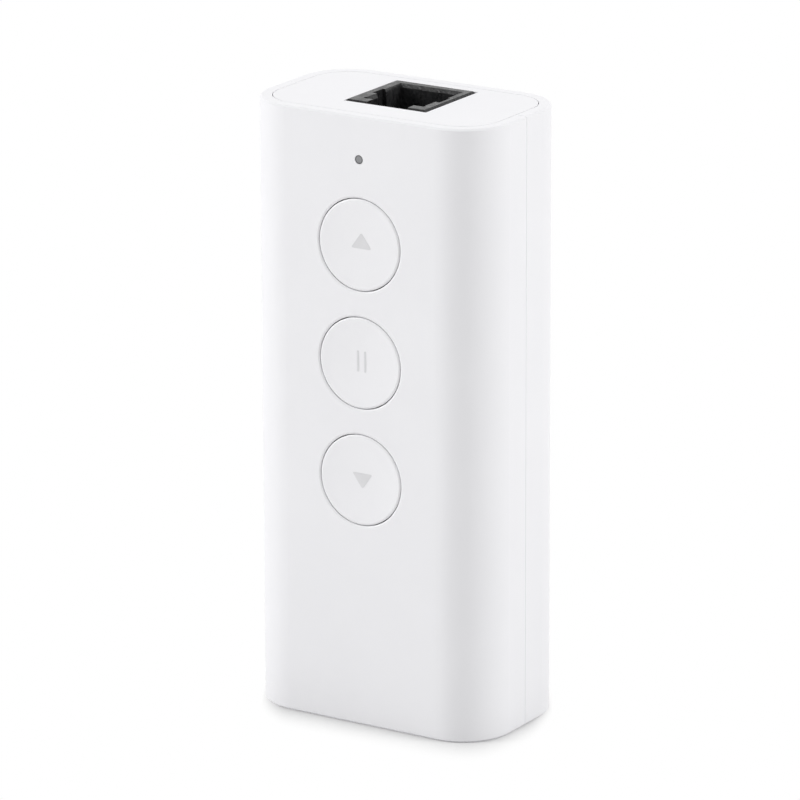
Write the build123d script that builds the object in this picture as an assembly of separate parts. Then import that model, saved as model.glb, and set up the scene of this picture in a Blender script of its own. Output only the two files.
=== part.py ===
"""Wired three-button controller for a curtain motor, as separate solids, in millimetres.

X runs to the right, Y from the front face to the back and Z up. The origin is the centre of the
bottom face. The case is two half shells that meet in the middle of its depth and trap a top plate.
"""

import math
import os

from build123d import *

# Case
case_width = 39.2
case_height = 88.0
corner_radius = 7.4
shell_wall = 1.7
floor_thickness = 1.8
edge_bevel = 0.25
seam_bevel = 0.1
tongue_height = 1.0
tongue_thickness = 0.7
tongue_clearance = 0.1

# What fills the depth between the two walls, from the front: room, board, jack, room
board_standoff = 3.4
board_thickness = 1.6
jack_depth = 13.5
jack_back_room = 1.9

# Top plate, trapped by its flange in a groove of both shells
plate_thickness = 2.4
plate_gap = 0.12
flange_thickness = 0.9
flange_reach = 0.7
flange_clearance = 0.08
jack_window_gap = 0.1

# Case screws, driven from the back through the lower end of the board
case_screw_inset = 8.0
case_screw_z = 8.2
case_screw_radius = 1.25
case_screw_length = 6.4
case_head_radius = 2.2
case_head_height = 1.6
boss_radius = 3.0
well_radius = 2.5
well_wall = 1.0
well_floor = 1.8
screw_hole_clearance = 0.2
thread_clearance = 0.03
pilot_extra_depth = 0.6
recess_width = 0.7
recess_depth = 0.8

# Hooks of the front shell, which hold the upper ends of the shells together
hook_sink = 12.0
hook_width = 4.0
hook_thickness = 0.9
hook_root = 3.0
hook_lip = 0.7
hook_lip_start = 2.0
hook_lip_length = 1.0
hook_gap = 0.08

# Keyhole slots, for hanging on two wall screws
keyhole_below_jack = 12.5
keyhole_spacing = 40.0
keyhole_entry_radius = 3.5
keyhole_slot_width = 3.6
keyhole_slot_length = 5.5
keyhole_pocket_depth = 2.3
keyhole_pocket_margin = 0.4
keyhole_pocket_wall = 1.0

# Buttons
button_radius = 6.5
button_gap = 0.15
button_top_sink = 18.2
button_pitch = 16.9
button_travel = 0.3
button_face = 1.3
button_skirt_wall = 0.9
button_edge_bevel = 0.1
button_hole_bevel = 0.08
collar_wall = 1.0
collar_height = 1.5
lug_reach = 0.8
lug_thickness = 0.5
lug_width = 2.4
lug_gap = 0.05
lug_angles = (30, 150, 270)
key_width = 1.4
key_height = 0.7
key_gap = 0.12
post_size = 3.0
post_rib = 0.8
collar_rib = 0.9
button_names = ("down", "pause", "up")

# Main board and the posts of both shells that it rests on
board_side_gap = 1.1
board_low_gap = 1.8
board_high_gap = 1.2
board_rest_size = 2.4
board_rest_inset = 2.2
board_rest_sink = 5.0

# Tact switches
switch_size = 6.0
switch_base_height = 2.2
switch_cover_thickness = 0.3
switch_well_depth = 1.3
plunger_size = 3.0
plunger_flange_size = 3.8
plunger_flange_room = 4.4
plunger_flange_thickness = 0.5
plunger_clearance = 0.06
plunger_stand = 0.6
dome_length = 4.2
dome_width = 2.6
dome_sheet = 0.1
dome_gap = 0.05
clip_width = 2.4
clip_length = 1.5
leg_width = 0.7
leg_pitch = 4.5
leg_sheet = 0.25
leg_reach = 1.5
leg_shoulder = 0.5

# Status light
light_sink = 6.1
light_radius = 0.6
light_hole_gap = 0.04
pipe_body_size = 2.6
pipe_body_length = 2.0
pipe_tip_sink = 0.05
pipe_collar_wall = 0.8
pipe_collar_height = 1.4
led_length = 2.0
led_width = 1.25
led_height = 0.7
led_lens_size = 0.9
led_lens_height = 0.25

# Modular jack: mouth up, latch side against the board
jack_width = 13.2
jack_length = 14.6
jack_stand = 0.1
jack_edge = 0.2
plug_half_width = 4.93
plug_room_front = 2.2
jack_back_wall = 1.65
jack_base_height = 3.0
latch_half_width = 3.3
latch_length = 9.0
catch_half_width = 1.75
catch_reach = 1.8
catch_sink = 1.6
catch_thickness = 1.5
side_notch_depth = 0.55
guide_gap = 0.6
guide_width = 2.6
guide_reach = 0.65
guide_corner = 0.5
side_notch_width = 2.7
side_notch_length = 6.0
mouth_bevel_side = 0.2
mouth_bevel_back = 0.35
mouth_bevel_depth = 0.5
peg_radius = 1.5
peg_x = 5.0
peg_sink = 7.5
peg_tip = 0.5
insert_clearance = 0.05
insert_wall = 1.25
comb_reach = 2.6
comb_tooth = 0.36
comb_sink = 8.2
comb_length = 2.6

# Spring contacts of the jack
contact_count = 6
contact_pitch = 1.02
strip_width = 0.46
strip_thickness = 0.3
strip_slot = 0.58
strip_seat = 0.03
fold_radius = 0.7
fold_sink = 3.8
leg_slope = 17.0
leg_length = 7.0
tail_row_step = 2.0
tail_stand = 0.6
tail_hole = 0.7

# Chips and modules on the back of the main board. A rise is measured from the board's lower edge,
# a drop from the jack down and an inset from the board's side edge.
radio_board_size = (13.0, 17.0, 0.8)
radio_board_rise = 17.8
radio_shield_size = (10.6, 10.8, 2.2)
radio_shield_wall = 0.2
radio_shield_lift = 2.0
antenna_run = 8.4
antenna_pitch = 1.1
antenna_rows = 4
antenna_line = 0.4
antenna_foil = 0.06
inductor_size = 6.2
inductor_height = 3.0
inductor_corner = 1.2
inductor_inset = 7.4
inductor_rise = 32.4
capacitor_radius = 3.15
capacitor_height = 7.0
capacitor_foot_size = 6.6
capacitor_foot_height = 0.7
capacitor_inset = 7.4
capacitor_rises = (29.8, 37.6)
small_outline_size = (4.9, 3.9, 1.5)
small_outline_legs_per_side = 4
small_outline_leg_pitch = 1.27
small_outline_leg_width = 0.42
small_outline_leg_reach = 1.0
regulator_x = -0.8
regulator_rise = 32.4
driver_inset = 7.2
driver_drop = 7.9
controller_x = 0.4
controller_drop = 15.0
controller_size = 5.0
controller_height = 0.9
fuse_inset = 7.8
fuse_drop = 6.9
fuse_size = (4.6, 3.2, 1.0)
diode_x = (-1.9, 1.9)
diode_drop = 5.5
diode_size = (2.6, 4.2, 2.0)
chip_rows_drop = 19.0
chip_row_step = 1.9
chips_per_row = 4
resistor_size = (1.6, 0.8, 0.45)
resistor_row_x = (-7.4, -4.8)
capacitor_chip_size = (2.0, 1.25, 0.8)
capacitor_chip_row_x = (5.4, 8.6)

# Places worked out from the sizes above
case_depth = 2 * shell_wall + board_standoff + board_thickness + jack_depth + jack_back_room
front_y = -case_depth / 2
rear_y = case_depth / 2
front_inner_y = front_y + shell_wall
rear_inner_y = rear_y - shell_wall
plate_low_z = case_height - plate_thickness
flange_high_z = plate_low_z + flange_thickness
board_front_y = front_inner_y + board_standoff
board_back_y = board_front_y + board_thickness
board_half_width = case_width / 2 - shell_wall - board_side_gap
board_low_z = floor_thickness + board_low_gap
board_high_z = plate_low_z - board_high_gap
board_rest_x = board_half_width - board_rest_inset
board_rest_heights = ((board_low_z + board_high_z) / 2, board_high_z - board_rest_sink)
board_rest_places = [(side * board_rest_x, z) for side in (-1, 1) for z in board_rest_heights]
case_screw_x = case_width / 2 - case_screw_inset
case_screw_places = [(side * case_screw_x, case_screw_z) for side in (-1, 1)]
well_floor_y = board_back_y + well_floor
hook_z = case_height - hook_sink
light_z = case_height - light_sink
button_heights = [case_height - button_top_sink - step * button_pitch for step in (2, 1, 0)]
button_hole_radius = button_radius + button_gap
collar_end_y = front_inner_y + collar_height
lug_front_y = collar_end_y + lug_gap
skirt_end_y = lug_front_y + lug_thickness
button_inner_y = front_y + button_face
switch_cover_y = board_front_y - switch_base_height
plunger_tip_y = switch_cover_y - switch_cover_thickness - plunger_stand
jack_front_y = board_back_y
jack_back_y = jack_front_y + jack_depth
jack_top_z = case_height + jack_stand
jack_low_z = jack_top_z - jack_length
plug_front_y = jack_front_y + plug_room_front
plug_back_y = jack_back_y - jack_back_wall
guide_front_y = plug_front_y + guide_gap
guide_back_y = guide_front_y + guide_width
insert_top_z = jack_top_z - fold_sink - fold_radius
strip_back_y = plug_back_y - strip_thickness / 2 - insert_clearance
keyhole_high_z = jack_low_z - keyhole_below_jack
keyhole_heights = (keyhole_high_z - keyhole_spacing, keyhole_high_z)
radio_board_z = board_low_z + radio_board_rise
inductor_place = (inductor_inset - board_half_width, board_low_z + inductor_rise)
capacitor_x = board_half_width - capacitor_inset
capacitor_places = [(capacitor_x, board_low_z + rise) for rise in capacitor_rises]
regulator_place = (regulator_x, board_low_z + regulator_rise)
driver_place = (driver_inset - board_half_width, jack_low_z - driver_drop)
controller_place = (controller_x, jack_low_z - controller_drop)
fuse_place = (board_half_width - fuse_inset, jack_low_z - fuse_drop)
diode_places = [(x, jack_low_z - diode_drop) for x in diode_x]
over_cut = 1.0


def block(x_span, y_span, z_span):
    """A box between three pairs of coordinates."""
    spans = (x_span, y_span, z_span)
    middle = [(low + high) / 2 for low, high in spans]
    size = [abs(high - low) for low, high in spans]
    return Pos(*middle) * Box(*size)


def bar(place, radius, y_from, y_to):
    """A round bar along the depth, at a place (x, z)."""
    x, z = place
    return Location((x, (y_from + y_to) / 2, z), (90, 0, 0)) * Cylinder(radius, abs(y_to - y_from))


def square_bar(place, size, y_from, y_to):
    """A square bar along the depth, at a place (x, z)."""
    x, z = place
    return block((x - size / 2, x + size / 2), (y_from, y_to), (z - size / 2, z + size / 2))


def plan_slab(inset, low, high):
    """A slab with the case's outline seen from above, moved inwards by inset."""
    outline = RectangleRounded(case_width - 2 * inset, case_depth - 2 * inset, corner_radius - inset)
    return Pos(0, 0, low) * extrude(outline, high - low)


def half_space(side):
    """The front half (side -1) or back half (side 1) of the space round the case."""
    far_y = side * (rear_y + over_cut)
    return block((-case_width, case_width), (0, far_y), (-over_cut, case_height + over_cut))


def half_shell(side):
    """One open half of the case, with softened outer edges and the plate's groove inside its rim."""
    body = plan_slab(0, 0, case_height)
    rims = body.edges().group_by(Axis.Z)
    body = chamfer(rims[0] + rims[-1], edge_bevel)
    body = body & half_space(side)
    seam_face = body.faces().filter_by(Axis.Y).sort_by(Axis.Y)[0 if side > 0 else -1]
    body = chamfer(seam_face.edges(), seam_bevel)
    body -= plan_slab(shell_wall, floor_thickness, case_height + over_cut)
    groove_low = plate_low_z - flange_clearance
    groove_high = flange_high_z + flange_clearance
    body -= plan_slab(shell_wall - flange_reach - flange_clearance, groove_low, groove_high)
    return body


def seam_tongue(growth):
    """The lip inside the seam, on both sides and along the floor, grown for its groove."""
    inset = shell_wall - tongue_thickness - growth
    top_z = plate_low_z - flange_clearance - tongue_height
    lip = plan_slab(inset, floor_thickness - tongue_thickness - growth, top_z + growth)
    lip -= plan_slab(shell_wall, floor_thickness, case_height)
    return lip & block((-case_width, case_width), (0, tongue_height + growth), (0, case_height))


def button_key(growth):
    """The key under a button's skirt that stops it turning, grown for its slot."""
    half = key_width / 2 + growth
    reach = button_hole_radius + key_height + growth
    root = button_radius - button_skirt_wall / 2
    return block((-half, half), (front_inner_y, skirt_end_y), (-reach, -root))


def hook(side):
    """A hook on the side wall of the front shell: a tab past the seam, with a lip pointing outwards."""
    inner_x = case_width / 2 - shell_wall
    tab_span = (side * (inner_x - hook_gap - hook_thickness), side * (inner_x - hook_gap))
    root_span = (side * (inner_x - hook_gap - hook_thickness), side * (inner_x + shell_wall / 2))
    lip_span = (side * (inner_x - hook_gap - hook_thickness), side * (inner_x + hook_lip))
    lip_end_y = hook_lip_start + hook_lip_length
    z_span = (hook_z - hook_width / 2, hook_z + hook_width / 2)
    tab = block(root_span, (-hook_root, 0), z_span) + block(tab_span, (-hook_root, lip_end_y), z_span)
    return tab + block(lip_span, (hook_lip_start, lip_end_y), z_span)


def hook_pocket(side):
    """The room in the side wall of the rear shell that a hook's lip catches in."""
    inner_x = case_width / 2 - shell_wall
    half_width = hook_width / 2 + hook_gap
    lip_end_y = hook_lip_start + hook_lip_length
    return block(
        (side * (inner_x - over_cut), side * (inner_x + hook_lip + hook_gap)),
        (hook_lip_start - hook_gap, lip_end_y + hook_gap),
        (hook_z - half_width, hook_z + half_width),
    )


def front_housing():
    """Front half of the case, with button collars, hooks, screw bosses and board rests."""
    body = half_shell(-1) + seam_tongue(0)
    inside = plan_slab(shell_wall / 2, floor_thickness / 2, plate_low_z - over_cut)
    wall_root_y = front_inner_y - shell_wall / 2
    for side in (-1, 1):
        body += hook(side)
    for place in case_screw_places:
        body += bar(place, boss_radius, wall_root_y, board_front_y)
    for place in board_rest_places:
        body += square_bar(place, board_rest_size, wall_root_y, board_front_y) & inside
    half_width = case_width / 2 - shell_wall / 2
    for z in button_heights:
        body += bar((0, z), button_hole_radius + collar_wall, wall_root_y, collar_end_y)
        rib = block(
            (-half_width, half_width),
            (wall_root_y, collar_end_y),
            (z - collar_rib / 2, z + collar_rib / 2),
        )
        body += rib & inside
    pipe_end_y = front_inner_y + pipe_collar_height
    body += square_bar((0, light_z), pipe_body_size + 2 * pipe_collar_wall, wall_root_y, pipe_end_y)
    for z in button_heights:
        body -= bar((0, z), button_hole_radius, front_y - over_cut, collar_end_y + over_cut)
    hole_rims = body.edges().filter_by(GeomType.CIRCLE).group_by(Axis.Y)[0]
    body = chamfer(hole_rims, button_hole_bevel)
    for z in button_heights:
        body -= Pos(0, 0, z) * button_key(key_gap)
    body -= bar((0, light_z), light_radius + light_hole_gap, front_y - over_cut, front_inner_y)
    body -= square_bar((0, light_z), pipe_body_size + 2 * light_hole_gap, front_inner_y, pipe_end_y)
    pilot_end_y = well_floor_y - case_screw_length - pilot_extra_depth
    for place in case_screw_places:
        body -= bar(place, case_screw_radius + thread_clearance, pilot_end_y, board_front_y)
    return body


def keyhole_cut():
    """The opening of a keyhole through the rear wall: a round entry with a slot that runs up."""
    span = (rear_inner_y - over_cut / 2, rear_y + over_cut)
    half = keyhole_slot_width / 2
    cut = bar((0, 0), keyhole_entry_radius, *span) + bar((0, keyhole_slot_length), half, *span)
    return cut + block((-half, half), span, (0, keyhole_slot_length))


def keyhole_box(z, half, y_from, y_to):
    """A box round a keyhole, as far from its entry as from the top of its slot."""
    return block((-half, half), (y_from, y_to), (z - half, z + keyhole_slot_length + half))


def rear_housing():
    """Back half of the case, with screw wells, keyhole pockets, board stops and ribs behind the jack."""
    body = half_shell(1) - seam_tongue(tongue_clearance)
    inside = plan_slab(shell_wall / 2, floor_thickness / 2, plate_low_z - over_cut)
    wall_root_y = rear_y - shell_wall / 2
    pocket_y = rear_inner_y - keyhole_pocket_depth
    pocket_half = keyhole_entry_radius + keyhole_pocket_margin
    box_y = pocket_y - keyhole_pocket_wall
    for side in (-1, 1):
        body -= hook_pocket(side)
    for place in case_screw_places:
        body += bar(place, well_radius + well_wall, board_back_y, wall_root_y)
    for place in board_rest_places:
        body += square_bar(place, board_rest_size, board_back_y, wall_root_y) & inside
    for z in keyhole_heights:
        body += keyhole_box(z, pocket_half + keyhole_pocket_wall, box_y, wall_root_y)
    for side in (-1, 1):
        middle = side * plug_half_width
        body += block(
            (middle - collar_rib / 2, middle + collar_rib / 2),
            (jack_back_y + jack_window_gap, wall_root_y),
            (jack_low_z, plate_low_z - over_cut),
        )
    for place in case_screw_places:
        body -= bar(place, well_radius, well_floor_y, rear_y + over_cut)
        body -= bar(place, case_screw_radius + screw_hole_clearance, board_back_y - over_cut, rear_y)
    for z in keyhole_heights:
        body -= keyhole_box(z, pocket_half, pocket_y, rear_inner_y)
        body -= Pos(0, 0, z) * keyhole_cut()
    return body


def top_plate():
    """Flat plate inside the rim, with its flange and the jack's window."""
    plate = plan_slab(shell_wall + plate_gap, plate_low_z, case_height)
    plate += plan_slab(shell_wall - flange_reach, plate_low_z, flange_high_z)
    window = block(
        (-jack_width / 2 - jack_window_gap, jack_width / 2 + jack_window_gap),
        (jack_front_y - jack_window_gap, jack_back_y + jack_window_gap),
        (plate_low_z - over_cut, case_height + over_cut),
    )
    return plate - window


def button():
    """Cup-shaped piston: flush face, sliding skirt, key, retaining lugs and pressing post."""
    skirt_inner = button_radius - button_skirt_wall
    body = bar((0, 0), button_radius, front_y, skirt_end_y)
    body = chamfer(body.edges().group_by(Axis.Y)[0], button_edge_bevel)
    body += button_key(0)
    for angle in lug_angles:
        lug = block(
            (button_radius - button_skirt_wall / 2, button_hole_radius + lug_reach),
            (lug_front_y, skirt_end_y),
            (-lug_width / 2, lug_width / 2),
        )
        body += Rot(0, angle, 0) * lug
    body -= bar((0, 0), skirt_inner, button_inner_y, skirt_end_y + over_cut)
    rib_end_y = (button_inner_y + plunger_tip_y) / 2
    body += block((-skirt_inner, skirt_inner), (button_inner_y, rib_end_y), (-post_rib / 2, post_rib / 2))
    body += block((-post_rib / 2, post_rib / 2), (button_inner_y, rib_end_y), (-skirt_inner, skirt_inner))
    return body + square_bar((0, 0), post_size, button_inner_y, plunger_tip_y)


def cross_head_screw(place, head_y, shank_size, head_size):
    """Screw that points to the front: (radius, length) of its shank, (radius, height) of its head."""
    x, z = place
    shank_radius, length = shank_size
    head_radius, head_height = head_size
    head = bar(place, head_radius, head_y, head_y + head_height)
    recess_reach = head_radius * 0.6
    recess_span = (head_y + head_height - recess_depth, head_y + head_height + over_cut)
    half = recess_width / 2
    head -= block((x - recess_reach, x + recess_reach), recess_span, (z - half, z + half))
    head -= block((x - half, x + half), recess_span, (z - recess_reach, z + recess_reach))
    return head + bar(place, shank_radius, head_y - length, head_y)


def case_screws():
    """The two screws at the bottom of the wells, which clamp the board between the shells."""
    shank = (case_screw_radius, case_screw_length)
    head = (case_head_radius, case_head_height)
    return [cross_head_screw(place, well_floor_y, shank, head) for place in case_screw_places]


def light_pipe():
    """Clear stepped pin that carries the light through the front wall."""
    tip = bar((0, light_z), light_radius, front_y + pipe_tip_sink, front_inner_y)
    return tip + square_bar((0, light_z), pipe_body_size, front_inner_y, front_inner_y + pipe_body_length)


def status_led():
    """Chip light with a small raised lens, facing the light pipe."""
    chip = block(
        (-led_length / 2, led_length / 2),
        (board_front_y - led_height + led_lens_height, board_front_y),
        (light_z - led_width / 2, light_z + led_width / 2),
    )
    return chip + square_bar((0, light_z), led_lens_size, board_front_y - led_height, board_front_y)


def tail_row_z(index):
    """Height of a contact's tail: odd and even contacts leave in two rows."""
    return jack_low_z + strip_thickness / 2 + strip_seat + (index % 2) * tail_row_step


def contact_x(index):
    """Sideways place of a contact."""
    return (index - (contact_count - 1) / 2) * contact_pitch


def main_board():
    """Board with holes for the case screws and for the pegs and contact tails of the jack."""
    board = block(
        (-board_half_width, board_half_width),
        (board_front_y, board_back_y),
        (board_low_z, board_high_z),
    )
    through = (board_front_y - over_cut, board_back_y + over_cut)
    for place in case_screw_places:
        board -= bar(place, case_screw_radius + screw_hole_clearance, *through)
    for side in (-1, 1):
        board -= bar((side * peg_x, jack_top_z - peg_sink), peg_radius + insert_clearance, *through)
    for index in range(contact_count):
        board -= square_bar((contact_x(index), tail_row_z(index)), tail_hole, *through)
    return board


def jack_body():
    """Jack shell: plug room, latch channel with catches, side notches and board pegs."""
    half = jack_width / 2
    body = block((-half, half), (jack_front_y, jack_back_y), (jack_low_z, jack_top_z))
    body = chamfer(body.edges().group_by(Axis.Z)[-1], jack_edge)
    high = jack_top_z + over_cut
    base_top_z = jack_low_z + jack_base_height
    plug_span = (-plug_half_width, plug_half_width)
    low = jack_low_z - over_cut
    body -= block(plug_span, (plug_front_y, plug_back_y), (low, high))
    body -= block(plug_span, (jack_front_y - over_cut, plug_back_y), (low, base_top_z))
    latch_span = (jack_front_y - over_cut, plug_front_y)
    body -= block((-latch_half_width, latch_half_width), latch_span, (jack_top_z - latch_length, high))
    catch_high_z = jack_top_z - catch_sink
    for side in (-1, 1):
        body += block(
            (side * catch_half_width, side * latch_half_width),
            (jack_front_y, jack_front_y + catch_reach),
            (catch_high_z - catch_thickness, catch_high_z),
        )
        body += plug_guide(side)
        body -= block(
            (0, side * (plug_half_width + side_notch_depth)),
            (guide_back_y, guide_back_y + side_notch_width),
            (jack_top_z - side_notch_length, high),
        )
        peg_place = (side * peg_x, jack_top_z - peg_sink)
        body += bar(peg_place, peg_radius, board_front_y - peg_tip, jack_front_y)
    return body - mouth_bevel()


def plug_guide(side):
    """The rib in a side wall of the jack that guides the plug past the latch."""
    guide = block(
        (side * (plug_half_width - guide_reach), side * (plug_half_width + side_notch_depth)),
        (guide_front_y, guide_back_y),
        (jack_top_z - side_notch_length, jack_top_z),
    )
    inner_face = guide.faces().sort_by(Axis.X)[0 if side > 0 else -1]
    corners = inner_face.edges().filter_by(Axis.Z) + inner_face.edges().group_by(Axis.Z)[-1]
    return chamfer(corners, guide_corner)


def mouth_bevel():
    """The cut that bevels the sides and the back of the jack's mouth, behind the guides."""
    depth = plug_back_y - guide_back_y
    low_face = Rectangle(2 * plug_half_width, depth, align=(Align.CENTER, Align.MIN))
    high_face = Rectangle(
        2 * (plug_half_width + mouth_bevel_side),
        depth + mouth_bevel_back,
        align=(Align.CENTER, Align.MIN),
    )
    low_z = jack_top_z - mouth_bevel_depth
    return loft([Pos(0, guide_back_y, low_z) * low_face, Pos(0, guide_back_y, jack_top_z) * high_face])


def jack_insert():
    """Contact carrier: a base block, a thin back wall with slots for the contacts, and a comb."""
    half = plug_half_width - insert_clearance
    base_top_z = jack_low_z + jack_base_height - insert_clearance
    back_y = plug_back_y - insert_clearance
    wall_front_y = back_y - insert_wall
    body = block((-half, half), (jack_front_y, back_y), (jack_low_z, base_top_z))
    body += block((-half, half), (wall_front_y, back_y), (jack_low_z, insert_top_z))
    comb_low_z = insert_top_z - comb_sink
    tooth_half = comb_tooth / 2
    for index in range(contact_count + 1):
        x = contact_x(index) - contact_pitch / 2
        body += block(
            (x - tooth_half, x + tooth_half),
            (wall_front_y - comb_reach, wall_front_y),
            (comb_low_z, comb_low_z + comb_length),
        )
    slot_half = strip_slot / 2
    slot_depth = strip_thickness + strip_seat
    for index in range(contact_count):
        x = contact_x(index)
        slot_span = (x - slot_half, x + slot_half)
        slot_top_z = tail_row_z(index) + strip_thickness / 2 + strip_seat
        low = jack_low_z - over_cut
        body -= block(slot_span, (jack_front_y - over_cut, back_y), (low, slot_top_z))
        body -= block(slot_span, (back_y - slot_depth, back_y + over_cut), (low, insert_top_z + over_cut))
    return body


def contact_path(index):
    """Centre line of one contact: board tail, run up the back wall, fold and free spring leg."""
    x = contact_x(index)
    tail_z = tail_row_z(index)
    slope = math.radians(leg_slope)
    fold_z = insert_top_z
    centre_y = strip_back_y - fold_radius
    leg_start = (centre_y - fold_radius * math.cos(slope), fold_z + fold_radius * math.sin(slope))
    leg_end = (leg_start[0] - leg_length * math.sin(slope), leg_start[1] - leg_length * math.cos(slope))
    half_turn = (math.pi - slope) / 2
    fold_top = (centre_y + fold_radius * math.cos(half_turn), fold_z + fold_radius * math.sin(half_turn))
    run = Polyline(
        (x, board_front_y - tail_stand, tail_z),
        (x, strip_back_y, tail_z),
        (x, strip_back_y, fold_z),
    )
    fold = ThreePointArc((x, strip_back_y, fold_z), (x, *fold_top), (x, *leg_start))
    leg = Line((x, *leg_start), (x, *leg_end))
    return run + fold + leg


def jack_contacts():
    """The stamped spring contacts, all alike but for their two rows of tails."""
    contacts = []
    for index in range(contact_count):
        path = contact_path(index)
        section = Plane(origin=path @ 0, x_dir=(1, 0, 0), z_dir=path % 0)
        section *= Rectangle(strip_width, strip_thickness)
        contacts.append(sweep(section, path=path, transition=Transition.RIGHT))
    return contacts


def switch_base(z):
    """Square moulded base with the well of the dome."""
    half = switch_size / 2
    base = block((-half, half), (switch_cover_y, board_front_y), (z - half, z + half))
    well_end_y = switch_cover_y + switch_well_depth
    return base - square_bar((0, z), plunger_flange_room, switch_cover_y - over_cut, well_end_y)


def switch_cover(z):
    """Metal cover plate with a clip folded down each end."""
    half = switch_size / 2
    outer_y = switch_cover_y - switch_cover_thickness
    cover = block((-half, half), (outer_y, switch_cover_y), (z - half, z + half))
    for side in (-1, 1):
        near = z + side * half
        cover += block(
            (-clip_width / 2, clip_width / 2),
            (outer_y, switch_cover_y + clip_length),
            (near, near + side * switch_cover_thickness),
        )
    hole_size = plunger_size + 2 * plunger_clearance
    return cover - square_bar((0, z), hole_size, outer_y - over_cut, switch_cover_y + over_cut)


def switch_plunger(z):
    """Square plunger with the flange that the cover holds in."""
    flange_y = switch_cover_y + plunger_clearance
    flange_end_y = flange_y + plunger_flange_thickness
    plunger = square_bar((0, z), plunger_size, plunger_tip_y, flange_y)
    return plunger + square_bar((0, z), plunger_flange_size, flange_y, flange_end_y)


def switch_dome(z):
    """Thin oblong snap dome, arched along the height, that pushes the plunger back."""
    foot_y = switch_cover_y + switch_well_depth
    top_y = switch_cover_y + plunger_clearance + plunger_flange_thickness + dome_gap
    half = dome_length / 2
    sheet = dome_sheet
    outer = ThreePointArc((0, foot_y, z - half), (0, top_y, z), (0, foot_y, z + half))
    half_inside = half - sheet
    inner_top_y = top_y + sheet
    inner = ThreePointArc((0, foot_y, z + half_inside), (0, inner_top_y, z), (0, foot_y, z - half_inside))
    feet = Line(outer @ 1, inner @ 0) + Line(inner @ 1, outer @ 0)
    return extrude(make_face(outer + inner + feet), dome_width / 2, dir=(1, 0, 0), both=True)


def bent_leg(reach, shoulder_height, width):
    """A flat solder leg that runs out along X and down Z to a foot on the board at Z = 0."""
    bend = reach / 2
    width_span = (-width / 2, width / 2)
    leg = block((0, bend), width_span, (shoulder_height, shoulder_height + leg_sheet))
    leg += block((bend - leg_sheet, bend), width_span, (0, shoulder_height + leg_sheet))
    return leg + block((bend - leg_sheet, reach), width_span, (0, leg_sheet))


def switch_legs(z):
    """Four bent solder legs of one switch."""
    leg = bent_leg(leg_reach, leg_shoulder, leg_width)
    legs = []
    for side in (-1, 1):
        for row in (-1, 1):
            foot = (side * switch_size / 2, board_front_y, z + row * leg_pitch / 2)
            legs.append(Plane(origin=foot, x_dir=(side, 0, 0), z_dir=(0, -1, 0)) * leg)
    return legs


def on_board_back(place, size):
    """A box on the back of the main board: place (x, z), size (along X, along Z, height)."""
    x, z = place
    width, tall, height = size
    depth_span = (board_back_y, board_back_y + height)
    return block((x - width / 2, x + width / 2), depth_span, (z - tall / 2, z + tall / 2))


def radio_board():
    """Small radio module board, soldered flat."""
    return on_board_back((0, radio_board_z), radio_board_size)


def radio_shield():
    """Pressed metal can over the radio chip, open towards its board."""
    width, tall, height = radio_shield_size
    place = (0, radio_board_z + radio_shield_lift)
    lift = Pos(0, radio_board_size[2], 0)
    outer = on_board_back(place, radio_shield_size)
    wall = radio_shield_wall
    hollow = on_board_back(place, (width - 2 * wall, tall - 2 * wall, height - wall))
    return lift * (outer - hollow)


def antenna_trace():
    """Folded foil antenna at the lower end of the radio board."""
    surface_y = board_back_y + radio_board_size[2]
    span = (surface_y, surface_y + antenna_foil)
    low_z = radio_board_z - radio_board_size[1] / 2 + antenna_line
    half = antenna_run / 2
    trace = None
    for row in range(antenna_rows):
        z = low_z + row * antenna_pitch
        run = block((-half, half), span, (z, z + antenna_line))
        trace = run if trace is None else trace + run
        if row + 1 < antenna_rows:
            side = 1 if row % 2 == 0 else -1
            turn = (side * (half - antenna_line), side * half)
            trace += block(turn, span, (z, z + antenna_pitch + antenna_line))
    return trace


def power_inductor():
    """Shielded coil of the power supply, with bevelled corners."""
    body = on_board_back(inductor_place, (inductor_size, inductor_size, inductor_height))
    return chamfer(body.edges().filter_by(Axis.Y), inductor_corner)


def capacitor_cans():
    """Round aluminium capacitor cans."""
    base_y = board_back_y + capacitor_foot_height
    can_end_y = base_y + capacitor_height
    return [bar(place, capacitor_radius, base_y, can_end_y) for place in capacitor_places]


def capacitor_feet():
    """Square plastic feet under the capacitor cans."""
    size = (capacitor_foot_size, capacitor_foot_size, capacitor_foot_height)
    return [on_board_back(place, size) for place in capacitor_places]


def regulator_chip():
    """Voltage regulator in a small outline package."""
    return on_board_back(regulator_place, small_outline_size)


def line_driver_chip():
    """Driver for the data line to the motor."""
    return on_board_back(driver_place, small_outline_size)


def chip_legs():
    """Bent legs along both long sides of the two small outline packages."""
    tall, height = small_outline_size[1:]
    leg = bent_leg(small_outline_leg_reach, height / 2, small_outline_leg_width)
    first = -(small_outline_legs_per_side - 1) / 2
    legs = []
    for x, z in (regulator_place, driver_place):
        for step in range(small_outline_legs_per_side):
            leg_x = x + (first + step) * small_outline_leg_pitch
            for side in (-1, 1):
                root = (leg_x, board_back_y, z + side * tall / 2)
                legs.append(Plane(origin=root, x_dir=(0, 0, side), z_dir=(0, 1, 0)) * leg)
    return legs


def controller_chip():
    """Flat controller chip."""
    return on_board_back(controller_place, (controller_size, controller_size, controller_height))


def supply_fuse():
    """Chip fuse in the supply line."""
    return on_board_back(fuse_place, fuse_size)


def surge_diodes():
    """Surge diodes beside the jack."""
    return [on_board_back(place, diode_size) for place in diode_places]


def chip_rows(row_x, size):
    """Small chip parts in straight rows at the given places along X."""
    low_z = jack_low_z - chip_rows_drop
    return [
        on_board_back((x, low_z + step * chip_row_step), size)
        for x in row_x
        for step in range(chips_per_row)
    ]


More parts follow.
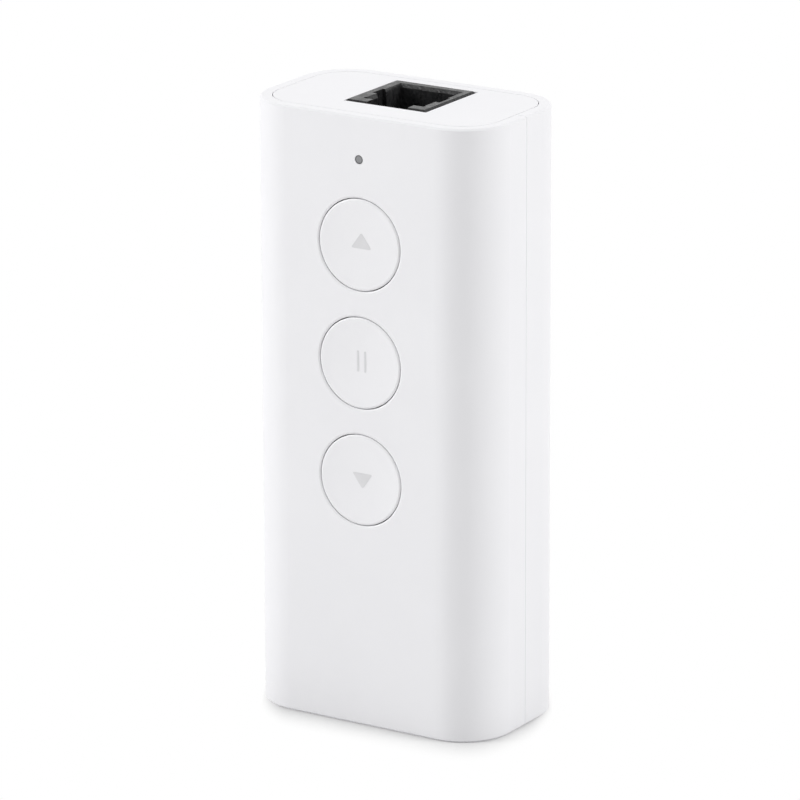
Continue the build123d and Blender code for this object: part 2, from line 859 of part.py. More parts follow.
def write_node(name, solids):
    """Write one node, made of one solid or a list of separate solids."""
    shape = Compound(children=list(solids)) if isinstance(solids, list) else solids
    export_step(shape, f"parts/{name}.step")


def build_all():
    """Every node of the controller by name."""
    nodes = {
        "front_housing": front_housing(),
        "rear_housing": rear_housing(),
        "top_plate": top_plate(),
        "case_screws": case_screws(),
        "light_pipe": light_pipe(),
        "main_board": main_board(),
        "status_led": status_led(),
        "jack_body": jack_body(),
        "jack_insert": jack_insert(),
        "jack_contacts": jack_contacts(),
        "radio_board": radio_board(),
        "radio_shield": radio_shield(),
        "antenna_trace": antenna_trace(),
        "power_inductor": power_inductor(),
        "capacitor_cans": capacitor_cans(),
        "capacitor_feet": capacitor_feet(),
        "regulator_chip": regulator_chip(),
        "line_driver_chip": line_driver_chip(),
        "chip_legs": chip_legs(),
        "controller_chip": controller_chip(),
        "supply_fuse": supply_fuse(),
        "surge_diodes": surge_diodes(),
        "chip_resistors": chip_rows(resistor_row_x, resistor_size),
        "chip_capacitors": chip_rows(capacitor_chip_row_x, capacitor_chip_size),
    }
    cap = button()
    for name, z in zip(button_names, button_heights):
        nodes[f"button_{name}"] = Pos(0, 0, z) * cap
        nodes[f"switch_base_{name}"] = switch_base(z)
        nodes[f"switch_cover_{name}"] = switch_cover(z)
        nodes[f"switch_plunger_{name}"] = switch_plunger(z)
        nodes[f"switch_dome_{name}"] = switch_dome(z)
        nodes[f"switch_legs_{name}"] = switch_legs(z)
    return nodes


os.makedirs("parts", exist_ok=True)
for node_name, node_solids in build_all().items():
    write_node(node_name, node_solids)
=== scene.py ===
import math

import bpy
from mathutils import Matrix, Vector


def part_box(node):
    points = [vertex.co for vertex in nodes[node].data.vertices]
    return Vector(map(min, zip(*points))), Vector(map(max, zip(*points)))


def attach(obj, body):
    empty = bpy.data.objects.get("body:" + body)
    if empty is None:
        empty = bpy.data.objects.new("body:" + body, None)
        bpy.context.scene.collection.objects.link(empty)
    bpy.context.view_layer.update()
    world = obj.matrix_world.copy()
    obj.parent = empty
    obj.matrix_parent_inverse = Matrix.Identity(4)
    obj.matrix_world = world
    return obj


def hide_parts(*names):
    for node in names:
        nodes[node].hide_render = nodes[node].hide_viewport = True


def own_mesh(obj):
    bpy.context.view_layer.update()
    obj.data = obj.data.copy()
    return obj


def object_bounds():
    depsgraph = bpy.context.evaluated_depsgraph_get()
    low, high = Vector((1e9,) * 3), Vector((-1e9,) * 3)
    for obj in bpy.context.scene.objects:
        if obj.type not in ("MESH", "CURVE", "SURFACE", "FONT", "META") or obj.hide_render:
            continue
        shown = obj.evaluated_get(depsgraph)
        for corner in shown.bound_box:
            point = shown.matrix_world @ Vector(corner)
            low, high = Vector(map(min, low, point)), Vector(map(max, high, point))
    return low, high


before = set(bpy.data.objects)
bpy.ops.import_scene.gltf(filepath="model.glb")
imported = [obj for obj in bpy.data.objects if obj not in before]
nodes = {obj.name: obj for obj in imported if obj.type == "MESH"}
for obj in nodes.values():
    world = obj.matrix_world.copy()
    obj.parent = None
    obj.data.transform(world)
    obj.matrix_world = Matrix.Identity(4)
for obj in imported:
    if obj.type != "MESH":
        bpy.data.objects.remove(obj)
cadBox = [list(corner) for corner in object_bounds()]
millimetre = 0.001
buttonNames = ("up", "pause", "down")
print("Frame loaded:", len(nodes), "nodes")


def newMaterial(name):
    material = bpy.data.materials.new(name)
    material.use_nodes = True
    tree = material.node_tree
    return material, tree, tree.nodes["Principled BSDF"]


def newGroup(name, inputs, outputs):
    group = bpy.data.node_groups.new(name, "ShaderNodeTree")
    for socketName, value in inputs.items():
        socket = group.interface.new_socket(socketName, in_out="INPUT", socket_type="NodeSocketFloat")
        socket.default_value = value
    for socketName in outputs:
        group.interface.new_socket(socketName, in_out="OUTPUT", socket_type="NodeSocketFloat")
    return group, group.nodes.new("NodeGroupInput"), group.nodes.new("NodeGroupOutput")


def addGroup(tree, group, values):
    node = tree.nodes.new("ShaderNodeGroup")
    node.node_tree = group
    for socketName, value in values.items():
        node.inputs[socketName].default_value = value
    return node


# A value goes on the socket, an output is linked to it
def feed(tree, socket, value):
    if isinstance(value, bpy.types.NodeSocket):
        tree.links.new(value, socket)
    else:
        socket.default_value = value


def addMath(tree, operation, first, second):
    node = tree.nodes.new("ShaderNodeMath")
    node.operation = operation
    feed(tree, node.inputs[0], first)
    feed(tree, node.inputs[1], second)
    return node.outputs["Value"]


def addVector(tree, operation, first, second=(0.0, 0.0, 0.0)):
    node = tree.nodes.new("ShaderNodeVectorMath")
    node.operation = operation
    feed(tree, node.inputs[0], first)
    feed(tree, node.inputs[1], second)
    return node.outputs["Value" if operation == "LENGTH" else "Vector"]


def addNoise(tree, vector, scale, detail):
    node = tree.nodes.new("ShaderNodeTexNoise")
    feed(tree, node.inputs["Vector"], vector)
    feed(tree, node.inputs["Scale"], scale)
    node.inputs["Detail"].default_value = detail
    return node.outputs["Fac"]


# Spreads a value out between low and high; most of a noise lies between 0.3 and 0.7
def addSpread(tree, value, low, high, fromLow=0.3, fromHigh=0.7):
    node = tree.nodes.new("ShaderNodeMapRange")
    node.inputs["From Min"].default_value = fromLow
    node.inputs["From Max"].default_value = fromHigh
    feed(tree, node.inputs["Value"], value)
    feed(tree, node.inputs["To Min"], low)
    feed(tree, node.inputs["To Max"], high)
    return node.outputs["Result"]


# Inputs 6 and 7 of a colour mix are its two colours, and output 2 is the blend
def addBlend(tree, share, colours):
    node = tree.nodes.new("ShaderNodeMix")
    node.data_type = "RGBA"
    for socket, colour in zip(node.inputs[6:8], colours):
        feed(tree, socket, colour if isinstance(colour, bpy.types.NodeSocket) else (*colour, 1.0))
    tree.links.new(share, node.inputs["Factor"])
    return node.outputs[2]


# The height is in millimetres
def addBump(tree, shader, height):
    bump = tree.nodes.new("ShaderNodeBump")
    bump.inputs["Distance"].default_value = millimetre
    tree.links.new(height, bump.inputs["Height"])
    tree.links.new(bump.outputs["Normal"], shader.inputs["Normal"])


# Fine grain of a moulded or plated surface: a height for the bump and a slow mottle for the colour
grainForm = {
    "fineShare": 0.7, "coarseShare": 0.3, "coarseScale": 0.31,
    "fineDetail": 3.0, "coarseDetail": 1.0, "mottleDetail": 2.0,
}


def makeGrainGroup():
    group, enter, leave = newGroup(
        "surfaceGrain", {"Grain Scale": 5000.0, "Mottle Scale": 90.0}, ("Height", "Mottle")
    )
    place = group.nodes.new("ShaderNodeTexCoord").outputs["Object"]
    fine = addNoise(group, place, enter.outputs["Grain Scale"], grainForm["fineDetail"])
    coarseScale = addMath(group, "MULTIPLY", enter.outputs["Grain Scale"], grainForm["coarseScale"])
    coarse = addNoise(group, place, coarseScale, grainForm["coarseDetail"])
    height = addMath(
        group, "ADD",
        addMath(group, "MULTIPLY", fine, grainForm["fineShare"]),
        addMath(group, "MULTIPLY", coarse, grainForm["coarseShare"]),
    )
    slow = addNoise(group, place, enter.outputs["Mottle Scale"], grainForm["mottleDetail"])
    group.links.new(height, leave.inputs["Height"])
    group.links.new(addSpread(group, slow, 0.0, 1.0), leave.inputs["Mottle"])
    return group


# Faint rubbed streaks along Z, as handling or drawing leaves them, to vary the roughness
streakForm = {"stretch": 0.08, "detail": 4.0}


def makeStreakGroup():
    group, enter, leave = newGroup(
        "rubbedStreaks", {"Low": 0.3, "High": 0.5, "Scale": 900.0}, ("Roughness",)
    )
    stretch = group.nodes.new("ShaderNodeMapping")
    stretch.inputs["Scale"].default_value = (1.0, 1.0, streakForm["stretch"])
    group.links.new(group.nodes.new("ShaderNodeTexCoord").outputs["Object"], stretch.inputs["Vector"])
    streaks = addNoise(group, stretch.outputs["Vector"], enter.outputs["Scale"], streakForm["detail"])
    roughness = addSpread(group, streaks, enter.outputs["Low"], enter.outputs["High"])
    group.links.new(roughness, leave.inputs["Roughness"])
    return group


# The rim of a disc on the front face, which rounds off towards its edge, from inside or outside
def makeDiscGroup():
    group, enter, leave = newGroup("discForm", {"Middle": 0.0, "Radius": 0.006, "Width": 0.0003}, ("Rim",))
    middle = group.nodes.new("ShaderNodeCombineXYZ")
    group.links.new(enter.outputs["Middle"], middle.inputs["Z"])
    place = group.nodes.new("ShaderNodeTexCoord").outputs["Object"]
    offset = addVector(group, "SUBTRACT", place, middle.outputs[0])
    reach = addVector(group, "LENGTH", addVector(group, "MULTIPLY", offset, (1.0, 0.0, 1.0)))  # no depth
    gap = addMath(group, "ABSOLUTE", addMath(group, "SUBTRACT", reach, enter.outputs["Radius"]), 0.0)
    near = addMath(group, "MINIMUM", addMath(group, "DIVIDE", gap, enter.outputs["Width"]), 1.0)
    far = addMath(group, "SUBTRACT", 1.0, near)
    rim = addMath(group, "SUBTRACT", 1.0, addMath(group, "MULTIPLY", far, far))
    group.links.new(rim, leave.inputs["Rim"])
    return group


grainGroup = makeGrainGroup()
streakGroup = makeStreakGroup()
discGroup = makeDiscGroup()

# Each finish: two colours that the mottle blends, roughness range, grain and mottle scale,
# grain depth in millimetres, metallic, and the colour of its rims where it has some
finishes = {
    "shellWhite": {
        "colours": ((0.886, 0.884, 0.905), (0.904, 0.902, 0.922)),
        "roughness": (0.40, 0.50), "grain": 5200.0, "mottle": 60.0, "depth": 0.006, "metallic": 0.0,
        # the paler rim colour is a painted highlight on the rounded edges of the button holes
        "rim": (0.970, 0.968, 0.985),
    },
    "buttonWhite": {
        "colours": ((0.888, 0.886, 0.906), (0.906, 0.904, 0.923)),
        "roughness": (0.38, 0.48), "grain": 5600.0, "mottle": 90.0, "depth": 0.005, "metallic": 0.0,
        # the paler rim colour is a painted highlight on the rounded edges of the buttons
        "rim": (0.970, 0.968, 0.985),
    },
    "jackBlack": {
        "colours": ((0.006, 0.006, 0.007), (0.028, 0.028, 0.029)),
        "roughness": (0.22, 0.40), "grain": 2600.0, "mottle": 2200.0, "depth": 0.080, "metallic": 0.0,
    },
    "insertBlack": {
        "colours": ((0.010, 0.010, 0.011), (0.016, 0.016, 0.017)),
        "roughness": (0.34, 0.50), "grain": 3600.0, "mottle": 400.0, "depth": 0.010, "metallic": 0.0,
    },
    "contactGold": {
        "colours": ((0.70, 0.46, 0.16), (0.80, 0.56, 0.22)),
        "roughness": (0.18, 0.32), "grain": 9000.0, "mottle": 700.0, "depth": 0.002, "metallic": 1.0,
    },
    "screwZinc": {
        "colours": ((0.50, 0.51, 0.53), (0.62, 0.62, 0.63)),
        "roughness": (0.24, 0.40), "grain": 7000.0, "mottle": 500.0, "depth": 0.004, "metallic": 1.0,
    },
    "tinnedSheet": {
        "colours": ((0.58, 0.58, 0.57), (0.70, 0.70, 0.69)),
        "roughness": (0.25, 0.42), "grain": 6000.0, "mottle": 500.0, "depth": 0.003, "metallic": 1.0,
    },
    "springSteel": {
        "colours": ((0.48, 0.47, 0.45), (0.60, 0.59, 0.56)),
        "roughness": (0.18, 0.30), "grain": 9000.0, "mottle": 500.0, "depth": 0.002, "metallic": 1.0,
    },
    "switchBlack": {
        "colours": ((0.014, 0.014, 0.015), (0.024, 0.024, 0.025)),
        "roughness": (0.40, 0.55), "grain": 5000.0, "mottle": 500.0, "depth": 0.006, "metallic": 0.0,
    },
    "smokyPipe": {
        "colours": ((0.270, 0.273, 0.282), (0.302, 0.305, 0.315)),
        "roughness": (0.22, 0.30), "grain": 6000.0, "mottle": 800.0, "depth": 0.002, "metallic": 0.0,
        "rim": (0.060, 0.061, 0.064),
    },
    "paleLight": {
        "colours": ((0.78, 0.74, 0.55), (0.86, 0.82, 0.64)),
        "roughness": (0.20, 0.32), "grain": 6000.0, "mottle": 900.0, "depth": 0.003, "metallic": 0.0,
    },
    "antennaGold": {
        "colours": ((0.72, 0.50, 0.20), (0.80, 0.58, 0.26)),
        "roughness": (0.25, 0.40), "grain": 8000.0, "mottle": 600.0, "depth": 0.003, "metallic": 1.0,
    },
    "chipEpoxy": {
        "colours": ((0.020, 0.020, 0.021), (0.034, 0.034, 0.035)),
        "roughness": (0.45, 0.62), "grain": 7000.0, "mottle": 600.0, "depth": 0.008, "metallic": 0.0,
    },
    "ferriteGrey": {
        "colours": ((0.075, 0.075, 0.077), (0.115, 0.115, 0.118)),
        "roughness": (0.52, 0.70), "grain": 6000.0, "mottle": 500.0, "depth": 0.012, "metallic": 0.0,
    },
    "canAluminium": {
        "colours": ((0.66, 0.67, 0.68), (0.76, 0.77, 0.78)),
        "roughness": (0.20, 0.36), "grain": 8000.0, "mottle": 300.0, "depth": 0.002, "metallic": 1.0,
    },
    "fuseCream": {
        "colours": ((0.62, 0.56, 0.42), (0.72, 0.66, 0.52)),
        "roughness": (0.35, 0.50), "grain": 7000.0, "mottle": 600.0, "depth": 0.004, "metallic": 0.0,
    },
    "chipBrown": {
        "colours": ((0.30, 0.20, 0.11), (0.42, 0.30, 0.18)),
        "roughness": (0.32, 0.46), "grain": 7000.0, "mottle": 900.0, "depth": 0.004, "metallic": 0.0,
    },
    "iconGrey": {
        "colours": ((0.722, 0.720, 0.736), (0.748, 0.746, 0.762)),
        "roughness": (0.50, 0.62), "grain": 7000.0, "mottle": 500.0, "depth": 0.002, "metallic": 0.0,
    },
}


# Rims that the eye catches on the front: the holes' and buttons' are painted a little paler, a painted
# highlight on their rounded edges, and the light pipe's is darker; radii to the flat of each face, all in
# millimetres
frontForm = {
    "holeRadius": 6.73, "buttonRadius": 6.40, "rimWidth": 0.20, "pipeRadius": 0.60, "pipeRimWidth": 0.32,
    "rimDepth": 0.07,
}


# 0 at the edge of the disc round the middle of a frame part, and 1 away from it; the plunger
# behind a button has the same middle as the button and its hole
def addRim(tree, nodeName, radius, width=frontForm["rimWidth"]):
    low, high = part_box(nodeName)
    return addGroup(tree, discGroup, {
        "Middle": (low.z + high.z) / 2,
        "Radius": radius * millimetre,
        "Width": width * millimetre,
    }).outputs["Rim"]


def addHoleRims(tree):
    rims = [addRim(tree, "switch_plunger_" + name, frontForm["holeRadius"]) for name in buttonNames]
    return addMath(tree, "MINIMUM", addMath(tree, "MINIMUM", rims[0], rims[1]), rims[2])


# addRims says where the rims are: they get their own colour, on the white parts a paler painted highlight,
# and the bump rounds them off
def makeFinish(name, values, addRims=None, *rimArguments):
    material, tree, shader = newMaterial(name)
    low, high = values["roughness"]
    grain = addGroup(tree, grainGroup, {"Grain Scale": values["grain"], "Mottle Scale": values["mottle"]})
    streaks = addGroup(tree, streakGroup, {"Low": low, "High": high})
    colour = addBlend(tree, grain.outputs["Mottle"], values["colours"])
    tree.links.new(streaks.outputs["Roughness"], shader.inputs["Roughness"])
    height = addMath(tree, "MULTIPLY", grain.outputs["Height"], values["depth"])
    if addRims:
        rim = addRims(tree, *rimArguments)
        height = addMath(tree, "ADD", height, addMath(tree, "MULTIPLY", rim, frontForm["rimDepth"]))
        # on the white parts the rim colour paints a highlight along the rounded edges
        colour = addBlend(tree, rim, (values["rim"], colour))
    tree.links.new(colour, shader.inputs["Base Color"])
    addBump(tree, shader, height)
    shader.inputs["Metallic"].default_value = values["metallic"]
    return material


# Green solder mask over copper, with paler tracks under it
boardFinish = {
    "colours": ((0.010, 0.105, 0.040), (0.022, 0.200, 0.075)), "trackScale": 700.0, "trackWidth": 0.22,
    "trackHeight": 0.012, "roughness": (0.24, 0.36), "grain": 3000.0, "mottle": 200.0,
}


def makeBoardFinish(name, values):
    material, tree, shader = newMaterial(name)
    cells = tree.nodes.new("ShaderNodeTexVoronoi")
    cells.distance = "CHEBYCHEV"
    cells.inputs["Scale"].default_value = values["trackScale"]
    tree.links.new(tree.nodes.new("ShaderNodeTexCoord").outputs["Object"], cells.inputs["Vector"])
    tracks = addMath(tree, "LESS_THAN", cells.outputs["Distance"], values["trackWidth"])
    grain = addGroup(tree, grainGroup, {"Grain Scale": values["grain"], "Mottle Scale": values["mottle"]})
    share = addMath(tree, "MULTIPLY", tracks, grain.outputs["Mottle"])
    low, high = values["roughness"]
    streaks = addGroup(tree, streakGroup, {"Low": low, "High": high})
    tree.links.new(addBlend(tree, share, values["colours"]), shader.inputs["Base Color"])
    tree.links.new(streaks.outputs["Roughness"], shader.inputs["Roughness"])
    addBump(tree, shader, addMath(tree, "MULTIPLY", share, values["trackHeight"]))
    return material


rimmedOnly = ("buttonWhite", "smokyPipe")  # made below, with the rims of their own pieces
materials = {
    name: makeFinish(name, values) for name, values in finishes.items() if name not in rimmedOnly
}
materials["boardGreen"] = makeBoardFinish("boardGreen", boardFinish)
materials["frontWhite"] = makeFinish("frontWhite", finishes["shellWhite"], addHoleRims)
materials["pipeTip"] = makeFinish(
    "pipeTip", finishes["smokyPipe"], addRim, "light_pipe", frontForm["pipeRadius"],
    frontForm["pipeRimWidth"],
)
for buttonName in buttonNames:
    capName, middle = "buttonWhite_" + buttonName, "switch_plunger_" + buttonName
    materials[capName] = makeFinish(
        capName, finishes["buttonWhite"], addRim, middle, frontForm["buttonRadius"]
    )
print("Finishes made:", len(materials))

nodeFinish = {
    "front_housing": "frontWhite",
    "rear_housing": "shellWhite",
    "top_plate": "shellWhite",
    "case_screws": "screwZinc",
    "light_pipe": "pipeTip",
    "main_board": "boardGreen",
    "status_led": "paleLight",
    "jack_body": "jackBlack",
    "jack_insert": "insertBlack",
    "jack_contacts": "contactGold",
    "radio_board": "boardGreen",
    "radio_shield": "tinnedSheet",
    "antenna_trace": "antennaGold",
    "power_inductor": "ferriteGrey",
    "capacitor_cans": "canAluminium",
    "capacitor_feet": "switchBlack",
    "regulator_chip": "chipEpoxy",
    "line_driver_chip": "chipEpoxy",
    "chip_legs": "tinnedSheet",
    "controller_chip": "chipEpoxy",
    "supply_fuse": "fuseCream",
    "surge_diodes": "chipEpoxy",
    "chip_resistors": "chipEpoxy",
    "chip_capacitors": "chipBrown",
}
for buttonName in buttonNames:
    nodeFinish["button_" + buttonName] = "buttonWhite_" + buttonName
    nodeFinish["switch_base_" + buttonName] = "switchBlack"
    nodeFinish["switch_cover_" + buttonName] = "tinnedSheet"
    nodeFinish["switch_plunger_" + buttonName] = "switchBlack"
    nodeFinish["switch_dome_" + buttonName] = "springSteel"
    nodeFinish["switch_legs_" + buttonName] = "tinnedSheet"
for nodeName, node in nodes.items():
    node.data.materials.clear()
    node.data.materials.append(materials[nodeFinish[nodeName]])
print("CAD nodes finished")


def selectNothing():
    bpy.ops.object.select_all(action="DESELECT")


def selectOnly(piece):
    selectNothing()
    piece.select_set(True)
    bpy.context.view_layer.objects.active = piece


# A frame part's mesh is loose triangles, so its copy is merged and its flat faces are made whole
copying = {
    "mergeGap": 0.001 * millimetre, "flatAngle": math.radians(0.5), "smoothAngle": math.radians(30.0),
}


def copyNode(nodeName, pieceName):
    piece = bpy.data.objects.new(pieceName, nodes[nodeName].data.copy())
    bpy.context.scene.collection.objects.link(piece)
    selectOnly(piece)
    bpy.ops.mesh.customdata_custom_splitnormals_clear()
    bpy.ops.object.mode_set(mode="EDIT")
    bpy.ops.mesh.select_all(action="SELECT")
    bpy.ops.mesh.remove_doubles(threshold=copying["mergeGap"])
    bpy.ops.mesh.dissolve_limited(angle_limit=copying["flatAngle"])
    bpy.ops.mesh.select_all(action="DESELECT")
    bpy.ops.object.mode_set(mode="OBJECT")
    bpy.ops.object.shade_smooth_by_angle(angle=copying["smoothAngle"])
    return piece


# Each button's face is a shallow finger bowl, sunk ring by ring from the edge of its flat
cap = {"radius": frontForm["buttonRadius"] * millimetre, "bowlDepth": 0.27 * millimetre, "rings": 12}


def makeCap(name):
    piece = copyNode("button_" + name, "cap_" + name)
    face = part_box("button_" + name)[0].y
    for polygon in piece.data.polygons:
        polygon.select = abs(polygon.center.y - face) < copying["mergeGap"]
    bpy.ops.object.mode_set(mode="EDIT")
    bpy.ops.mesh.select_mode(type="FACE")
    for ring in range(cap["rings"] - 1, 0, -1):
        outer, inner = (ring + 1) / cap["rings"], ring / cap["rings"]
        bpy.ops.mesh.inset(
            thickness=cap["radius"] / cap["rings"], depth=-cap["bowlDepth"] * (outer ** 2 - inner ** 2)
        )
    bpy.ops.object.mode_set(mode="OBJECT")
    bpy.ops.object.shade_smooth_by_angle(angle=copying["smoothAngle"])
    return piece


for buttonName in buttonNames:
    piece = makeCap(buttonName)
    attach(piece, "button_" + buttonName)
    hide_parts("button_" + buttonName)
print("Button caps made")

# The chamfer of the jack's flange is cut wider at its right and front
jack = {"cut": 0.45 * millimetre}


def makeJack():
    piece = copyNode("jack_body", "jack_shell")
    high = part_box("jack_body")[1]
    top = [vertex.co for vertex in piece.data.vertices if high.z - vertex.co.z < copying["mergeGap"]]
    right = max(point.x for point in top) - jack["cut"]
    front = min(point.y for point in top) + jack["cut"]
    bpy.ops.object.mode_set(mode="EDIT")
    for place, outwards in (((right, 0, high.z), (1, 0, 1)), ((0, front, high.z), (0, -1, 1))):
        bpy.ops.mesh.select_all(action="SELECT")
        bpy.ops.mesh.bisect(plane_co=place, plane_no=outwards, use_fill=True, clear_outer=True)
    bpy.ops.object.mode_set(mode="OBJECT")
    bpy.ops.object.shade_smooth_by_angle(angle=copying["smoothAngle"])
    return piece


jackShell = makeJack()
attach(jackShell, "housing")
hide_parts("jack_body")
print("Jack chamfered")

# Each snap dome is replaced by a merged copy with a mesh of its own, carried by the housing
for buttonName in buttonNames:
    nodeName = "switch_dome_" + buttonName
    piece = copyNode(nodeName, "snap_dome_" + buttonName)
    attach(piece, "housing")
    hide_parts(nodeName)
    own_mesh(piece)
print("Snap domes made")

# Printed icons: a triangle up, two bars and a triangle down, a little off the buttons' middles
icon = {
    "width": 3.34 * millimetre, "height": 2.30 * millimetre,
    "corner": 0.36 * millimetre, "cornerSteps": 5,
    "barWidth": 0.33 * millimetre, "barHeight": 3.02 * millimetre, "barPitch": 1.16 * millimetre,
    "barShift": -0.055 * millimetre, "barCorner": 0.099 * millimetre, "barSteps": 4,
    "ink": 0.045 * millimetre, "sink": 0.010 * millimetre,
    "shiftX": 0.152 * millimetre, "shiftZ": 0.211 * millimetre,
}


def bakePlace(piece):
    selectOnly(piece)
    bpy.ops.object.transform_apply(location=True, rotation=True, scale=True)


# A point just under the bottom of the button's bowl, where its icon is printed
def iconPlace(name):
    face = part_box("button_" + name)[0].y + cap["bowlDepth"]
    low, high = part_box("switch_plunger_" + name)
    return Vector((
        (low.x + high.x) / 2 + icon["shiftX"],
        face + icon["sink"],
        (low.z + high.z) / 2 + icon["shiftZ"],
    ))


def raiseInk():
    bpy.ops.mesh.select_all(action="SELECT")
    bpy.ops.mesh.extrude_region_move(TRANSFORM_OT_translate={"value": (0, -icon["ink"] - icon["sink"], 0)})
    bpy.ops.mesh.select_all(action="SELECT")
    bpy.ops.mesh.normals_make_consistent(inside=False)


# pointing is 1 for up and -1 for down; a triangle in a circle of radius 1 is root 3 wide and 1.5 high
def makeTriangle(name, pointing):
    place = iconPlace(name)
    radius = icon["width"] / math.sqrt(3)
    selectNothing()
    bpy.ops.mesh.primitive_circle_add(
        vertices=3, radius=radius, fill_type="NGON", location=place, rotation=(math.radians(90), 0, 0)
    )
    piece = bpy.context.object
    piece.name = "icon_" + name
    bakePlace(piece)
    bpy.ops.object.mode_set(mode="EDIT")
    bpy.ops.mesh.select_all(action="SELECT")
    stretch = (1.0, 1.0, pointing * icon["height"] / (1.5 * radius))
    bpy.ops.transform.resize(value=stretch, center_override=place)
    bpy.ops.mesh.bevel(offset=icon["corner"], segments=icon["cornerSteps"], affect="VERTICES")
    raiseInk()
    bpy.ops.object.mode_set(mode="OBJECT")
    return piece


def makeBars(name):
    left = iconPlace(name) + Vector((icon["barShift"] - icon["barPitch"] / 2, 0, 0))
    selectNothing()
    bpy.ops.mesh.primitive_plane_add(size=1.0, location=left, rotation=(math.radians(90), 0, 0))
    piece = bpy.context.object
    piece.name = "icon_" + name
    piece.scale = (icon["barWidth"], icon["barHeight"], 1.0)
    bakePlace(piece)
    bpy.ops.object.mode_set(mode="EDIT")
    bpy.ops.mesh.select_all(action="SELECT")
    bpy.ops.mesh.bevel(offset=icon["barCorner"], segments=icon["barSteps"], affect="VERTICES")
    raiseInk()
    bpy.ops.mesh.duplicate_move(TRANSFORM_OT_translate={"value": (icon["barPitch"], 0, 0)})
    bpy.ops.object.mode_set(mode="OBJECT")
    return piece


icons = {"up": makeTriangle("up", 1), "pause": makeBars("pause"), "down": makeTriangle("down", -1)}
for buttonName, piece in icons.items():
    piece.data.materials.append(materials["iconGrey"])
    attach(piece, "button_" + buttonName)
print("Icons printed")

# The floor shows the contact shadow, partly cast by the lamps and partly painted as a darker floor colour
# in a fixed pattern close before and behind the object and hardly at its sides, and is plain white further
# out; it is also painted darker near the object for the light that it sends back, as painted shade
floorValues = {
    "size": 3.0, "roughness": 0.9, "seenColour": 0.77,
    "bounceNear": 0.66, "bounceFar": 0.79, "bounceReach": 20.0 * millimetre,
    "shadeTurn": math.radians(32.0), "shadeReach": 8.0 * millimetre, "sideReach": 0.6 * millimetre,
    "sideFrom": 20.1 * millimetre, "cornerFrom": 16.7 * millimetre, "cornerRound": 336.0,
    "cornerBlend": 18.0 * millimetre,
}


# 1 for a ray that shows the surface to the eye, straight or mirrored, and 0 for one that lights others
def addSeen(tree):
    rays = tree.nodes.new("ShaderNodeLightPath")
    seen = addMath(tree, "MAXIMUM", rays.outputs["Is Camera Ray"], rays.outputs["Is Glossy Ray"])
    return addMath(tree, "MAXIMUM", seen, rays.outputs["Is Transmission Ray"])


# How far a place on the floor lies outside the object's footprint, in x and in y
def addOutside(tree, place):
    corner = (cadBox[1][0], cadBox[1][1], 0.0)
    return addVector(tree, "SUBTRACT", addVector(tree, "ABSOLUTE", place), corner)


# Distance from the object's footprint along the painted shadow's direction, and across it at the sides
def addShadeDistance(tree, outside, place):
    turn = floorValues["shadeTurn"]
    along = tree.nodes.new("ShaderNodeSeparateXYZ")
    stretched = addVector(tree, "DIVIDE", outside, (math.sin(turn), math.cos(turn), 1.0))
    tree.links.new(stretched, along.inputs[0])
    nearest = addMath(tree, "SMOOTH_MAX", along.outputs["X"], along.outputs["Y"])
    nearest.node.inputs[2].default_value = floorValues["cornerBlend"]
    across = tree.nodes.new("ShaderNodeSeparateXYZ")
    turned = addVector(tree, "MULTIPLY", place, (math.cos(turn), math.sin(turn), 0.0))
    tree.links.new(turned, across.inputs[0])
    side = addMath(tree, "ABSOLUTE", addMath(tree, "ADD", across.outputs["X"], across.outputs["Y"]), 0.0)
    corner = addMath(tree, "MAXIMUM", addMath(tree, "SUBTRACT", side, floorValues["cornerFrom"]), 0.0)
    corner = addMath(tree, "MULTIPLY", corner, corner)
    corner = addMath(tree, "MULTIPLY", corner, floorValues["cornerRound"])
    beyond = addMath(tree, "SUBTRACT", side, floorValues["sideFrom"])
    beyond = addMath(tree, "MULTIPLY", beyond, floorValues["shadeReach"] / floorValues["sideReach"])
    return addMath(tree, "MAXIMUM", addMath(tree, "ADD", nearest, corner), beyond)


def makeFloor():
    selectNothing()
    bpy.ops.mesh.primitive_plane_add(size=floorValues["size"], location=(0, 0, 0))
    floor = bpy.context.object
    floor.name = "floor"
    material, tree, shader = newMaterial("paleFloor")
    seen = addSeen(tree)
    place = tree.nodes.new("ShaderNodeTexCoord").outputs["Object"]
    outside = addOutside(tree, place)
    reach = addVector(tree, "LENGTH", addVector(tree, "MAXIMUM", outside, (0.0, 0.0, 0.0)))
    # painted shade: the floor's colour for the light it sends back is darker near the object
    bounce = addSpread(
        tree, reach, floorValues["bounceNear"], floorValues["bounceFar"], 0.0, floorValues["bounceReach"]
    )
    extra = addMath(tree, "MULTIPLY", seen, addMath(tree, "SUBTRACT", floorValues["seenColour"], bounce))
    tree.links.new(addMath(tree, "ADD", bounce, extra), shader.inputs["Base Color"])
    shader.inputs["Roughness"].default_value = floorValues["roughness"]
    shader.inputs["Specular IOR Level"].default_value = 0.0
    # painted shadow: the darker seen colour shows where this distance is small, and the white glow takes
    # over further out
    distance = addShadeDistance(tree, outside, place)
    shade = addSpread(tree, distance, 1.0, 0.0, 0.0, floorValues["shadeReach"])
    fade = addMath(tree, "SUBTRACT", 1.0, addMath(tree, "MULTIPLY", shade, shade))
    glow = tree.nodes.new("ShaderNodeEmission")
    glow.inputs["Color"].default_value = (1.0, 1.0, 1.0, 1.0)
    mix = tree.nodes.new("ShaderNodeMixShader")
    tree.links.new(addMath(tree, "MULTIPLY", fade, seen), mix.inputs[0])
    tree.links.new(shader.outputs["BSDF"], mix.inputs[1])
    tree.links.new(glow.outputs["Emission"], mix.inputs[2])
    tree.links.new(mix.outputs["Shader"], tree.nodes["Material Output"].inputs["Surface"])
    floor.data.materials.append(material)


